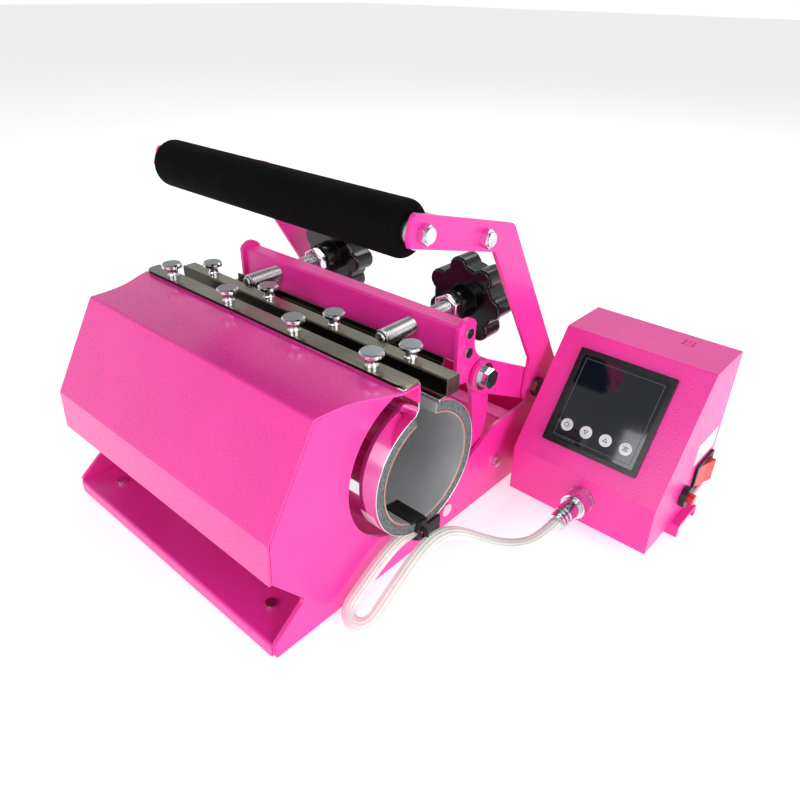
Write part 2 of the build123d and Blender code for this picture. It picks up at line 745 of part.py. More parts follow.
def box_outline(inset):
    """Points (Y, Z) of the box side, moved inwards by inset."""
    return [(BOX_FRONT + inset, BOX_BOTTOM), (BOX_FRONT + inset, LIP_TOP - inset * 0.3),
            (SLOPE_TOP[0] + inset * 0.6, SLOPE_TOP[1] - inset), (BOX_BACK, SLOPE_TOP[1] - inset),
            (BOX_BACK, BOX_BOTTOM), (BOX_FRONT + inset, BOX_BOTTOM)]


def control_box_shell():
    width = BOX_X[1] - BOX_X[0]
    with BuildPart() as shell:
        with BuildSketch(side_plane(BOX_X[0])):
            with BuildLine():
                Polyline(*box_outline(0.0))
            make_face()
        extrude(amount=width)
        fillet(shell.edges().filter_by(Axis.X).group_by(Axis.Z)[1:], radius=1.5)
        with BuildSketch(side_plane(BOX_X[0] + SHEET_T)):
            with BuildLine():
                Polyline(*box_outline(SHEET_T))
            make_face()
        extrude(amount=width - 2 * SHEET_T, mode=Mode.SUBTRACT)
        with BuildSketch(slope_plane()):
            Rectangle(66.0, 66.0)
        extrude(amount=-4.0, mode=Mode.SUBTRACT)
        with BuildSketch(Plane.XZ.offset(-BOX_FRONT - 4.0)):
            with Locations((CONNECTOR_X, CONNECTOR_Z)):
                Circle(8.0)
        extrude(amount=6.0, mode=Mode.SUBTRACT)
        with BuildSketch(side_plane(BOX_X[1] - 4.0)):
            with Locations(ROCKER_PLACE):
                Rectangle(28.0, 22.0)
            with Locations(RESET_PLACE):
                Circle(6.0)
        extrude(amount=6.0, mode=Mode.SUBTRACT)
        with BuildSketch(Plane.XY.offset(SLOPE_TOP[1] + 1.0)):
            with Locations(BUZZER_PLACE):
                with GridLocations(3.2, 3.2, 3, 3):
                    Circle(1.1)
        extrude(amount=-4.0, mode=Mode.SUBTRACT)
    save(shell.part, "control_box_shell")


def control_box_base():
    """Bottom and back of the box, folded from one sheet that sits inside the shell."""
    clearance = 0.2
    width = BOX_X[1] - BOX_X[0] - 2 * (SHEET_T + clearance)
    front = BOX_FRONT + SHEET_T + clearance
    top = SLOPE_TOP[1] - SHEET_T - clearance
    with BuildPart() as base:
        with BuildSketch(side_plane(BOX_X[0] + SHEET_T + clearance)):
            with BuildLine():
                FilletPolyline((front, BOX_BOTTOM), (BOX_BACK, BOX_BOTTOM), (BOX_BACK, top), radius=2.0)
                offset(amount=SHEET_T, side=Side.LEFT)
            make_face()
        extrude(amount=width)
        with BuildSketch(Plane.XZ.offset(-BOX_BACK - 1.0)):
            with Locations(INLET_PLACE):
                Rectangle(27.6, 20.2)
        extrude(amount=5.0, mode=Mode.SUBTRACT)
    save(base.part, "control_box_base")


def control_bracket():
    """Channel that carries the box and joins it to the right side plate."""
    wall = 2.0
    with BuildPart() as bracket:
        with BuildSketch(side_plane(PLATE_X)):
            with BuildLine():
                FilletPolyline((149.0, 0.0), (149.0, BOX_BOTTOM), (183.0, BOX_BOTTOM), (183.0, 0.0),
                               radius=2.5)
                offset(amount=wall, side=Side.RIGHT)
            make_face()
        extrude(amount=248.0 - PLATE_X)
        with BuildSketch(side_plane(PLATE_X)):
            with Locations((166.0, 24.5)):
                Rectangle(34.0, 29.0)
            with Locations((156.0, 30.0), (176.0, 30.0)):
                Circle(2.1, mode=Mode.SUBTRACT)
        extrude(amount=wall)
    save(bracket.part, "control_bracket")


def display_module():
    with BuildPart() as module:
        with BuildSketch(slope_plane()):
            RectangleRounded(PANEL_SIZE, PANEL_SIZE, 1.0)
        extrude(amount=2.6)
        with BuildSketch(slope_plane().offset(2.6)):
            Rectangle(64.5, 64.5)
        extrude(amount=-0.8, mode=Mode.SUBTRACT)
        with BuildSketch(slope_plane()):
            Rectangle(65.0, 65.0)
        extrude(amount=-26.0)
        with BuildSketch(slope_plane().offset(2.0)):
            with Locations(*BUTTON_PLACES):
                Circle(BUTTON_R + RUNNING_FIT)
        extrude(amount=-4.0, mode=Mode.SUBTRACT)
    save(module.part, "display_module")


def panel_button(place, name):
    with BuildPart() as button:
        with BuildSketch(slope_plane().offset(-0.8)):
            with Locations(place):
                Circle(BUTTON_R)
        extrude(amount=3.4)
        fillet(button.edges().group_by(Axis.Z)[-1], radius=0.3)
    save(button.part, name)


def controller_board():
    with BuildPart() as board:
        with BuildSketch(Plane.XY.offset(16.0)):
            with Locations((186.6, 160.0)):
                Rectangle(80.0, 60.0)
        extrude(amount=1.6)
        with BuildSketch(Plane.XY.offset(17.6)):
            with Locations((165.0, 150.0)):
                Rectangle(20.0, 16.0)
            with Locations((205.0, 150.0)):
                Rectangle(30.0, 12.0)
        extrude(amount=15.0)
    save(board.part, "controller_board")


def buzzer():
    with BuildPart() as disc:
        with BuildSketch(Plane.XY.offset(SLOPE_TOP[1] - SHEET_T)):
            with Locations(BUZZER_PLACE):
                Circle(9.0)
        extrude(amount=-6.0)
    save(disc.part, "buzzer")


def inlet_socket():
    """Mains inlet in the back of the box."""
    with BuildPart() as inlet:
        with BuildSketch(Plane.XZ.offset(-BOX_BACK - 3.0)):
            with Locations(INLET_PLACE):
                RectangleRounded(31.0, 24.0, 2.0)
        extrude(amount=3.0)
        with BuildSketch(Plane.XZ.offset(-BOX_BACK)):
            with Locations(INLET_PLACE):
                Rectangle(27.4, 20.0)
        extrude(amount=20.0)
        with BuildSketch(Plane.XZ.offset(-BOX_BACK - 3.0)):
            with Locations(INLET_PLACE):
                Rectangle(22.0, 15.0)
        extrude(amount=18.0, mode=Mode.SUBTRACT)
        for x, z in ((158.0, 38.0), (172.0, 38.0), (165.0, 42.0)):
            with BuildSketch(Plane.XZ.offset(-BOX_BACK + 1.0)):
                with Locations((x, z)):
                    Rectangle(2.0, 4.0)
            extrude(amount=15.0)
    save(inlet.part, "inlet_socket")


def switch_bezels():
    """Frame of the rocker switch and round collar of the reset button."""
    with BuildPart() as frame:
        with BuildSketch(side_plane(BOX_X[1])):
            with Locations(ROCKER_PLACE):
                RectangleRounded(32.0, 26.0, 1.5)
        extrude(amount=2.0)
        with BuildSketch(side_plane(BOX_X[1] - 16.0)):
            with Locations(ROCKER_PLACE):
                Rectangle(27.6, 21.6)
        extrude(amount=16.0)
        with BuildSketch(side_plane(BOX_X[1] - 14.0)):
            with Locations(ROCKER_PLACE):
                Rectangle(25.0, 19.0)
        extrude(amount=17.0, mode=Mode.SUBTRACT)
    with BuildPart() as collar:
        with BuildSketch(side_plane(BOX_X[1])):
            with Locations(RESET_PLACE):
                Circle(8.0)
        extrude(amount=4.5)
        with BuildSketch(side_plane(BOX_X[1] - 14.0)):
            with Locations(RESET_PLACE):
                Circle(5.9)
        extrude(amount=14.0)
        with BuildSketch(side_plane(BOX_X[1] - 12.0)):
            with Locations(RESET_PLACE):
                Circle(4.0 + RUNNING_FIT)
        extrude(amount=17.0, mode=Mode.SUBTRACT)
    save(Compound(children=[frame.part, collar.part]), "switch_bezels")


def rocker():
    """Rocker key that tips about its vertical pin; its rear end stands proud."""
    y, z = ROCKER_PLACE
    x = ROCKER_AXIS_X
    with BuildPart() as key:
        with BuildSketch(Plane.XY.offset(z - 9.0)):
            with BuildLine():
                Polyline((x - 4.0, y - 3.5), (x + 4.6, y - 11.6), (x + 7.0, y - 1.0), (x + 10.6, y + 9.4),
                         (x + 6.0, y + 10.2), (x - 4.0, y + 3.5), (x - 4.0, y - 3.5))
            make_face()
        extrude(amount=18.0)
        fillet(key.edges().filter_by(Axis.Z).group_by(Axis.X)[-1], radius=0.8)
        with BuildSketch(Plane.XY.offset(z - 9.4)):
            with Locations((x, y)):
                Circle(2.0)
        extrude(amount=18.8)
    save(key.part, "rocker")


def reset_button():
    with BuildPart() as button:
        with BuildSketch(side_plane(BOX_X[1] - 8.0)):
            with Locations(RESET_PLACE):
                Circle(4.0)
        extrude(amount=17.0)
        fillet(button.edges().group_by(Axis.X)[-1], radius=0.6)
    save(button.part, "reset_button")


# ---- heater lead ------------------------------------------------------------------------
def connector_socket():
    """Panel socket: flange on the lip of the box, with its body behind."""
    with BuildPart() as socket:
        with BuildSketch(Plane.XZ.offset(-BOX_FRONT)):
            with Locations((CONNECTOR_X, CONNECTOR_Z)):
                Circle(9.6)
        extrude(amount=2.0)
        with BuildSketch(Plane.XZ.offset(-BOX_FRONT - 12.0)):
            with Locations((CONNECTOR_X, CONNECTOR_Z)):
                Circle(7.95)
        extrude(amount=12.0)
        with BuildSketch(Plane.XZ.offset(-BOX_FRONT + 2.0)):
            with Locations((CONNECTOR_X, CONNECTOR_Z)):
                Circle(7.6)
        extrude(amount=6.0)
    save(socket.part, "connector_socket")


def coupling_nut():
    """Knurled ring that locks the plug to the socket."""
    with BuildPart() as ring:
        with BuildSketch(Plane.XZ.offset(-BOX_FRONT + 2.3)):
            with Locations((CONNECTOR_X, CONNECTOR_Z)):
                Circle(9.4)
                with PolarLocations(9.6, 24):
                    Circle(0.5, mode=Mode.SUBTRACT)
                Circle(7.7, mode=Mode.SUBTRACT)
        extrude(amount=11.0)
    save(ring.part, "coupling_nut")


def cable_plug():
    """Plug shell that tapers to a clamp for the cable."""
    centre = (CONNECTOR_X, CONNECTOR_Z)
    with BuildPart() as plug:
        rows = ((7.6, BOX_FRONT - 8.2, 6.0), (6.9, BOX_FRONT - 14.2, 11.8), (6.1, BOX_FRONT - 26.0, 10.0))
        for radius, start, length in rows:
            with BuildSketch(Plane.XZ.offset(-start)):
                with Locations(centre):
                    Circle(radius)
            extrude(amount=length)
        for offset_y in (2.0, 6.0):
            with BuildSketch(Plane.XZ.offset(-PLUG_END - offset_y - 1.6)):
                with Locations(centre):
                    Circle(6.8)
            extrude(amount=1.6)
    save(plug.part, "cable_plug")


def heater_cable():
    """Heater lead: from the plug to the boot, in a loop beside the press, to the mat."""
    points = [Vector(*p) for p in CABLE_POINTS]
    radii = []
    for before, here, after in zip(points, points[1:], points[2:]):
        turn = (here - before).get_angle(after - here)
        shorter = min((here - before).length, (after - here).length)
        radii.append(0.45 * shorter / tan(radians(turn) / 2))
    with BuildPart() as cable:
        with BuildLine() as route:
            FilletPolyline(*points, radius=radii)
        with BuildSketch(Plane(origin=points[0], z_dir=points[1] - points[0])):
            Circle(CABLE_D / 2)
        sweep(path=route.wires()[0])
    length = route.wires()[0].length
    print("cable radii", [round(r, 1) for r in radii])
    print("cable length", round(length, 1), "volume", round(cable.part.volume, 1),
          "section x length", round(pi * CABLE_D ** 2 / 4 * length, 1))
    save(cable.part, "heater_cable")


# ---- build --------------------------------------------------------------------------------
for part_side in (-1, 1):
    side_plate(part_side)
    jaw_arm(part_side)
    stud(part_side)
    star_knob(part_side)
    handle_arm(part_side)

for index, screw_x in enumerate(SCREW_XS, start=1):
    thumb_screw(screw_x, FRONT_SCREW_Y, CLAMP_TOP + BAND_T + STRIP_T, 7.0, f"front_thumb_screw_{index}")
    thumb_screw(screw_x, REAR_SCREW_Y, BAR_Z[1], 12.0, f"rear_thumb_screw_{index}")

for button_place, button_name in zip(BUTTON_PLACES, ("set_button", "down_button", "up_button", "mode_button")):
    panel_button(button_place, button_name)

base_pan()
front_cover()
rear_panel()
rubber_feet()
frame_screws()
front_clamp_bar()
rear_clamp_bar()
rear_clamp_channel()
front_mat_band()
rear_mat_band()
heating_pads()
lead_boot()
pusher_bar()
jaw_screws()
links()
link_shaft()
link_bolts()
grip_tube()
foam_grip()
tie_rod()
handle_bolts()
handle_pivot_bolts()
jaw_pivot_bolts()
control_box_shell()
control_box_base()
control_bracket()
display_module()
controller_board()
buzzer()
inlet_socket()
switch_bezels()
rocker()
reset_button()
connector_socket()
coupling_nut()
cable_plug()
heater_cable()
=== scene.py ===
"""Mug heat press: materials, soft and detailed pieces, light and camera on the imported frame."""

import json
import math

import bmesh
import bpy
from mathutils import Matrix, Vector


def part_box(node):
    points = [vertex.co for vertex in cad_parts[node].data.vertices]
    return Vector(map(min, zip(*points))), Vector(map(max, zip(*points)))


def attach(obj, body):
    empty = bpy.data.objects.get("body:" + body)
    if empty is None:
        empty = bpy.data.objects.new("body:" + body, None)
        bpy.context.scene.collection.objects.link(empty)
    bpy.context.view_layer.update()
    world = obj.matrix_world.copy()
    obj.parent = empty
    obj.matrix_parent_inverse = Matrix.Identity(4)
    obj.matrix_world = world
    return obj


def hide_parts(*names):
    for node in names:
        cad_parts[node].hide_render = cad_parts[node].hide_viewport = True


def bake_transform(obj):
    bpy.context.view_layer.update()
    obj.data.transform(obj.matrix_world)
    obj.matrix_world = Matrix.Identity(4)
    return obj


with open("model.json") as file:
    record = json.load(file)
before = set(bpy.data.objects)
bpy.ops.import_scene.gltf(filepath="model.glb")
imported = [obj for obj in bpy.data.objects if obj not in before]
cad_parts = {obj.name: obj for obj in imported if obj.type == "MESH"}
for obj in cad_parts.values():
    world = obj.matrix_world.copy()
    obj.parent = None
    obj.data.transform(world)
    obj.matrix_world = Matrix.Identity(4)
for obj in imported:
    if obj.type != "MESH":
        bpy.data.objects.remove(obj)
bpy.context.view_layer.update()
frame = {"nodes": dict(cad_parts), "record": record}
nodes = frame["nodes"]
MM = 0.001
X_AXIS = Vector((1.0, 0.0, 0.0))
Y_AXIS = Vector((0.0, 1.0, 0.0))
Z_AXIS = Vector((0.0, 0.0, 1.0))


# ---- camera -------------------------------------------------------------------------
def make_camera(azimuth, elevation, roll, distance, target, lens):
    """Camera that looks at target from azimuth and elevation, in degrees."""
    az, el, r = (math.radians(a) for a in (azimuth, elevation, roll))
    back = Vector((math.sin(az) * math.cos(el), -math.cos(az) * math.cos(el), math.sin(el)))
    right = Vector((math.cos(az), math.sin(az), 0.0))
    up = back.cross(right)
    side = math.cos(r) * right + math.sin(r) * up
    top = math.cos(r) * up - math.sin(r) * right
    data = bpy.data.cameras.new("camera")
    data.lens = lens
    data.sensor_width = 36.0
    data.clip_start = 0.01
    camera = bpy.data.objects.new("camera", data)
    bpy.context.scene.collection.objects.link(camera)
    place = Matrix((side, top, back)).transposed().to_4x4()
    place.translation = Vector(target) + distance * back
    camera.matrix_world = place
    bpy.context.scene.camera = camera


make_camera(41.29, 31.26, 1.02, 0.60974, (0.0, 0.12329, 0.02575), 30.75)
bpy.context.scene.view_settings.view_transform = "Standard"


# ---- material nodes -----------------------------------------------------------------
class Surface:
    """A Principled material with helpers for procedural detail in object coordinates."""

    def __init__(self, name, metallic=0.0, specular=0.5, coat=0.0, coat_rough=0.1, sheen=0.0):
        self.material = bpy.data.materials.new(name)
        self.material.use_nodes = True
        self.tree = self.material.node_tree
        self.shader = self.tree.nodes["Principled BSDF"]
        self.shader.inputs["Metallic"].default_value = metallic
        self.shader.inputs["Specular IOR Level"].default_value = specular
        self.shader.inputs["Coat Weight"].default_value = coat
        self.shader.inputs["Coat Roughness"].default_value = coat_rough
        self.shader.inputs["Sheen Weight"].default_value = sheen
        self.normal = None

    def node(self, kind, **settings):
        made = self.tree.nodes.new(kind)
        for key, value in settings.items():
            setattr(made, key, value)
        return made

    def link(self, output, target):
        self.tree.links.new(output, target)

    def position(self, stretch=(1.0, 1.0, 1.0)):
        place = self.node("ShaderNodeTexCoord")
        mapping = self.node("ShaderNodeMapping")
        mapping.inputs["Scale"].default_value = stretch
        self.link(place.outputs["Object"], mapping.inputs["Vector"])
        return mapping.outputs["Vector"]

    def noise(self, scale, detail=2.0, rough=0.5, stretch=(1.0, 1.0, 1.0)):
        made = self.node("ShaderNodeTexNoise")
        made.inputs["Scale"].default_value = scale
        made.inputs["Detail"].default_value = detail
        made.inputs["Roughness"].default_value = rough
        self.link(self.position(stretch), made.inputs["Vector"])
        return made.outputs["Fac"]

    def cells(self, scale, feature="F1", stretch=(1.0, 1.0, 1.0)):
        made = self.node("ShaderNodeTexVoronoi", feature=feature)
        made.inputs["Scale"].default_value = scale
        self.link(self.position(stretch), made.inputs["Vector"])
        return made.outputs["Distance"]

    def remap(self, value, low, high, out_low, out_high):
        made = self.node("ShaderNodeMapRange")
        for key, number in (("From Min", low), ("From Max", high), ("To Min", out_low), ("To Max", out_high)):
            made.inputs[key].default_value = number
        self.link(value, made.inputs["Value"])
        return made.outputs["Result"]

    def blend_colors(self, factor, first, second):
        made = self.node("ShaderNodeMix", data_type="RGBA")
        self.link(factor, made.inputs["Factor"])
        for socket, value in ((made.inputs[6], first), (made.inputs[7], second)):
            if isinstance(value, bpy.types.NodeSocket):
                self.link(value, socket)
            else:
                socket.default_value = (*value, 1.0)
        return made.outputs[2]

    def color(self, value):
        self.link(value, self.shader.inputs["Base Color"])

    def rough(self, value):
        self.link(value, self.shader.inputs["Roughness"])

    def soft_edges(self, radius):
        made = self.node("ShaderNodeBevel", samples=4)
        made.inputs["Radius"].default_value = radius
        self.normal = made.outputs["Normal"]

    def bump(self, height, distance, strength=1.0):
        made = self.node("ShaderNodeBump")
        made.inputs["Strength"].default_value = strength
        made.inputs["Distance"].default_value = distance
        self.link(height, made.inputs["Height"])
        if self.normal is not None:
            self.link(self.normal, made.inputs["Normal"])
        self.normal = made.outputs["Normal"]

    def done(self):
        if self.normal is not None:
            self.link(self.normal, self.shader.inputs["Normal"])
        return self.material


def scaled(color, factor):
    return tuple(min(1.0, c * factor) for c in color)


PINK = (0.88, 0.026, 0.345)


def pink_paint(name, grain_scale, grain_depth, rough_low, rough_high, coat):
    """Powder coat: orange peel and slight mottling."""
    s = Surface(name, specular=0.5, coat=coat, coat_rough=0.16)
    s.soft_edges(0.0007)
    mottle = s.remap(s.noise(22.0, 3.0), 0.3, 0.7, 0.0, 1.0)
    base = s.blend_colors(mottle, scaled(PINK, 0.93), scaled(PINK, 1.03))
    s.color(base)
    s.rough(s.remap(s.noise(1200.0, 1.0), 0.3, 0.7, rough_low, rough_high))
    s.bump(s.noise(grain_scale, 1.0), grain_depth)
    return s.done()


def wrinkle_paint():
    """Coarse wrinkle powder coat of the control box, with its pits painted darker as painted shade."""
    s = Surface("pink_wrinkle", specular=0.5, coat=0.25, coat_rough=0.2)
    s.soft_edges(0.0007)
    mottle = s.remap(s.noise(18.0, 3.0), 0.3, 0.7, 0.0, 1.0)
    base = s.blend_colors(mottle, scaled(PINK, 0.92), scaled(PINK, 1.02))
    # painted shade: darker pink where the wrinkle bump is low
    pit_painted_shade = s.remap(s.noise(900.0, 2.0), 0.30, 0.46, 0.35, 0.0)
    s.color(s.blend_colors(pit_painted_shade, base, scaled(PINK, 0.8)))
    s.rough(s.remap(s.noise(300.0, 2.0), 0.3, 0.7, 0.28, 0.40))
    s.bump(s.noise(900.0, 2.0), 0.00024)
    s.bump(s.noise(1500.0, 2.0), 0.00007)
    return s.done()


def brushed_metal(name, color, rough_low, rough_high, stretch, depth, coat=0.0, edge=0.0003):
    """Metal with fine brush lines along the direction that stretch keeps long."""
    s = Surface(name, metallic=1.0, coat=coat, coat_rough=0.05)
    s.soft_edges(edge)
    cloud = s.remap(s.noise(35.0, 3.0), 0.3, 0.7, 0.0, 1.0)
    s.color(s.blend_colors(cloud, scaled(color, 0.90), scaled(color, 1.05)))
    lines = s.noise(900.0, 3.0, 0.6, stretch)
    s.rough(s.remap(lines, 0.3, 0.7, rough_low, rough_high))
    s.bump(lines, depth)
    return s.done()


def clamp_steel():
    """Dark nickel of the clamp parts, olive on top; the faces towards the front are painted black as a
    painted dark reflection.
    """
    s = Surface("nickel_and_painted_reflection", metallic=1.0)
    s.soft_edges(0.0004)
    geometry = s.node("ShaderNodeNewGeometry")
    split = s.node("ShaderNodeSeparateXYZ")
    s.link(geometry.outputs["Normal"], split.inputs["Vector"])
    # painted reflection: faces turned towards the front (-Y) are painted near black
    front = s.remap(split.outputs["Y"], -0.9, -0.5, 1.0, 0.0)
    cloud = s.remap(s.noise(35.0, 3.0), 0.3, 0.7, 0.0, 1.0)
    top = s.blend_colors(cloud, (0.225, 0.215, 0.165), (0.290, 0.280, 0.220))
    s.color(s.blend_colors(front, top, (0.030, 0.028, 0.020)))
    lines = s.noise(900.0, 3.0, 0.6, (0.02, 1.0, 1.0))
    s.rough(s.remap(lines, 0.3, 0.7, 0.16, 0.28))
    s.bump(lines, 0.000005)
    return s.done()


def chrome():
    """Bright chrome with faint handling marks."""
    s = Surface("chrome", metallic=1.0)
    s.soft_edges(0.00025)
    cloud = s.remap(s.noise(120.0, 3.0), 0.35, 0.65, 0.0, 1.0)
    s.color(s.blend_colors(cloud, (0.62, 0.63, 0.65), (0.80, 0.81, 0.83)))
    s.rough(s.remap(s.noise(420.0, 4.0), 0.3, 0.7, 0.05, 0.17))
    s.bump(s.noise(900.0, 2.0), 0.00001)
    return s.done()


def thumb_chrome():
    """Chrome of the thumb screws: the flat top is turned and rougher than the rim, and painted darker as
    painted shade.
    """
    s = Surface("thumb_chrome", metallic=1.0)
    s.soft_edges(0.0003)
    geometry = s.node("ShaderNodeNewGeometry")
    split = s.node("ShaderNodeSeparateXYZ")
    s.link(geometry.outputs["Normal"], split.inputs["Vector"])
    # painted shade: the upward-facing flat top is painted darker than the rim
    flat = s.remap(split.outputs["Z"], 0.96, 0.995, 0.0, 1.0)
    cloud = s.remap(s.noise(260.0, 3.0), 0.3, 0.7, 0.0, 1.0)
    bright = s.blend_colors(cloud, (0.60, 0.62, 0.64), (0.82, 0.83, 0.84))
    s.color(s.blend_colors(flat, bright, (0.33, 0.37, 0.38)))
    s.rough(s.remap(flat, 0.0, 1.0, 0.10, 0.34))
    s.bump(s.noise(1500.0, 2.0), 0.00002)
    return s.done()


def plastic(name, color, rough_low, rough_high, grain, depth, coat=0.0, edge=0.0004):
    """Moulded plastic with a fine spark-eroded grain."""
    s = Surface(name, specular=0.5, coat=coat, coat_rough=0.06)
    s.soft_edges(edge)
    cloud = s.remap(s.noise(60.0, 3.0), 0.3, 0.7, 0.0, 1.0)
    s.color(s.blend_colors(cloud, scaled(color, 0.85), scaled(color, 1.15)))
    s.rough(s.remap(s.noise(240.0, 3.0), 0.3, 0.7, rough_low, rough_high))
    s.bump(s.noise(grain, 2.0), depth)
    return s.done()


def grip_foam():
    """Closed-cell foam of the grip: matte, with small pores painted darker as painted shade."""
    s = Surface("grip_foam", specular=0.06, sheen=0.0)
    cloud = s.remap(s.noise(40.0, 4.0), 0.3, 0.7, 0.0, 1.0)
    base = s.blend_colors(cloud, (0.0012, 0.0012, 0.0014), (0.0030, 0.0030, 0.0034))
    # painted shade: darker colour in the pore hollows of the bump
    pore_painted_shade = s.remap(s.cells(1500.0), 0.10, 0.35, 1.0, 0.0)
    s.color(s.blend_colors(pore_painted_shade, base, (0.0005, 0.0005, 0.0005)))
    s.rough(s.remap(s.noise(500.0, 3.0), 0.3, 0.7, 0.72, 0.92))
    s.bump(s.cells(1500.0), 0.00016)
    s.bump(s.noise(90.0, 3.0), 0.0004)
    return s.done()


def silicone_foam():
    """Grey sponge of the mat: pale and darker mottling and open cells on the cut face, whose hollows are
    painted dark as painted shade.
    """
    s = Surface("silicone_foam", specular=0.3)
    cells = s.cells(1050.0)
    # painted shade: darkest in the cell hollows of the bump
    cell_painted_shade = s.remap(cells, 0.05, 0.40, 1.0, 0.0)
    base = s.blend_colors(s.remap(s.noise(500.0, 4.0), 0.35, 0.65, 0.0, 1.0),
                          (0.075, 0.092, 0.096), (0.185, 0.215, 0.220))
    s.color(s.blend_colors(cell_painted_shade, base, (0.028, 0.036, 0.038)))
    s.rough(s.remap(s.noise(300.0, 3.0), 0.3, 0.7, 0.72, 0.9))
    s.bump(cells, 0.00030)
    return s.done()


def liner_face():
    """Satin grey face of the heater, with faint marks round the bore."""
    s = Surface("liner_face", metallic=0.35, specular=0.5)
    lines = s.noise(160.0, 4.0, 0.6, (6.0, 0.5, 0.5))
    cloud = s.remap(s.noise(14.0, 3.0), 0.3, 0.7, 0.0, 1.0)
    base = s.blend_colors(cloud, (0.33, 0.33, 0.345), (0.44, 0.44, 0.455))
    s.color(s.blend_colors(s.remap(lines, 0.35, 0.65, 0.0, 0.35), base, (0.52, 0.52, 0.53)))
    s.rough(s.remap(lines, 0.3, 0.7, 0.38, 0.55))
    s.bump(lines, 0.00006)
    return s.done()


def braided_sleeve():
    """White woven sleeve of the lead: fine yarns, with the hollows between them painted darker as painted
    shade.
    """
    s = Surface("braided_sleeve", specular=0.35, sheen=0.15)
    yarn = s.noise(1300.0, 3.0, 0.6)
    cloud = s.remap(s.noise(70.0, 3.0), 0.3, 0.7, 0.0, 1.0)
    base = s.blend_colors(cloud, (0.78, 0.775, 0.72), (0.88, 0.88, 0.84))
    # painted shade: darker where the yarn bump is low
    s.color(s.blend_colors(s.remap(yarn, 0.3, 0.55, 0.45, 0.0), base, (0.56, 0.56, 0.50)))
    s.rough(s.remap(yarn, 0.3, 0.7, 0.45, 0.65))
    s.bump(yarn, 0.00012)
    return s.done()


def rubber(name, color, rough_low, rough_high):
    s = Surface(name, specular=0.35)
    s.soft_edges(0.0005)
    cloud = s.remap(s.noise(90.0, 4.0), 0.3, 0.7, 0.0, 1.0)
    s.color(s.blend_colors(cloud, scaled(color, 0.8), scaled(color, 1.3)))
    s.rough(s.remap(s.noise(400.0, 3.0), 0.3, 0.7, rough_low, rough_high))
    s.bump(s.noise(700.0, 3.0), 0.00010)
    return s.done()


def thread_zinc():
    """Zinc of a cut thread: bright crests, with the grooves painted dark as painted shade."""
    s = Surface("thread_zinc", metallic=1.0)
    groove = s.node("ShaderNodeAttribute", attribute_name="groove")
    # painted shade: the deeper the groove, the darker the colour
    groove_painted_shade = s.remap(groove.outputs["Fac"], 0.25, 0.75, 0.0, 1.0)
    cloud = s.remap(s.noise(90.0, 3.0), 0.3, 0.7, 0.0, 1.0)
    bright = s.blend_colors(cloud, (0.60, 0.60, 0.60), (0.78, 0.78, 0.79))
    s.color(s.blend_colors(groove_painted_shade, bright, (0.06, 0.055, 0.055)))
    s.rough(s.remap(s.noise(500.0, 3.0), 0.3, 0.7, 0.16, 0.30))
    s.bump(s.noise(900.0, 2.0), 0.00001)
    return s.done()


def brass_disc():
    s = Surface("brass_disc", metallic=1.0)
    rings = s.noise(420.0, 3.0)
    s.color(s.blend_colors(s.remap(rings, 0.3, 0.7, 0.0, 1.0), (0.55, 0.36, 0.10), (0.86, 0.63, 0.26)))
    s.rough(s.remap(rings, 0.3, 0.7, 0.22, 0.42))
    s.bump(rings, 0.00004)
    return s.done()


def floor_paper():
    s = Surface("floor_paper", specular=0.1)
    cloud = s.remap(s.noise(3.0, 3.0), 0.3, 0.7, 0.0, 1.0)
    s.color(s.blend_colors(cloud, (0.86, 0.86, 0.865), (0.89, 0.89, 0.895)))
    s.rough(s.remap(s.noise(8.0, 3.0), 0.3, 0.7, 0.75, 0.9))
    s.shader.inputs["Emission Color"].default_value = (1.0, 1.0, 1.0, 1.0)
    s.shader.inputs["Emission Strength"].default_value = 0.50
    return s.done()


COVER = pink_paint("pink_cover", 1500.0, 0.000012, 0.24, 0.34, 0.35)
PAINT = pink_paint("pink_paint", 1500.0, 0.000012, 0.30, 0.42, 0.2)
WRINKLE = wrinkle_paint()
POLISHED = clamp_steel()
SHAFT = brushed_metal("dark_shaft", (0.16, 0.155, 0.12), 0.14, 0.28, (0.02, 1.0, 1.0), 0.000006)
BAND = brushed_metal("stainless_band", (0.78, 0.77, 0.77), 0.05, 0.12, (1.0, 0.04, 0.04), 0.000002)
THREAD = thread_zinc()
ZINC = brushed_metal("zinc_thread", (0.70, 0.70, 0.71), 0.12, 0.26, (1.0, 1.0, 1.0), 0.00001, edge=0.0001)
CHROME = chrome()
THUMB = thumb_chrome()
KNOB = plastic("knob_gloss", (0.0016, 0.0016, 0.0018), 0.12, 0.20, 1200.0, 0.00001, coat=0.1)
BLACK = plastic("black_plastic", (0.012, 0.012, 0.013), 0.32, 0.46, 1800.0, 0.00004)
WINDOW = plastic("display_gloss", (0.005, 0.007, 0.012), 0.03, 0.07, 300.0, 0.000002, coat=0.6)
BEZEL = plastic("display_bezel", (0.006, 0.006, 0.007), 0.16, 0.26, 2000.0, 0.00003)
LINE = plastic("display_line", (0.085, 0.09, 0.10), 0.2, 0.3, 2000.0, 0.00001)
SILVER = plastic("button_silver", (0.60, 0.63, 0.67), 0.20, 0.32, 1800.0, 0.00002, coat=0.4, edge=0.0007)
INK = plastic("symbol_ink", (0.05, 0.055, 0.06), 0.4, 0.5, 1800.0, 0.00001)
RED = plastic("red_key", (0.70, 0.016, 0.012), 0.16, 0.26, 1600.0, 0.00001, coat=0.4)
LABEL = plastic("label_foil", (0.62, 0.64, 0.66), 0.25, 0.4, 900.0, 0.00001)
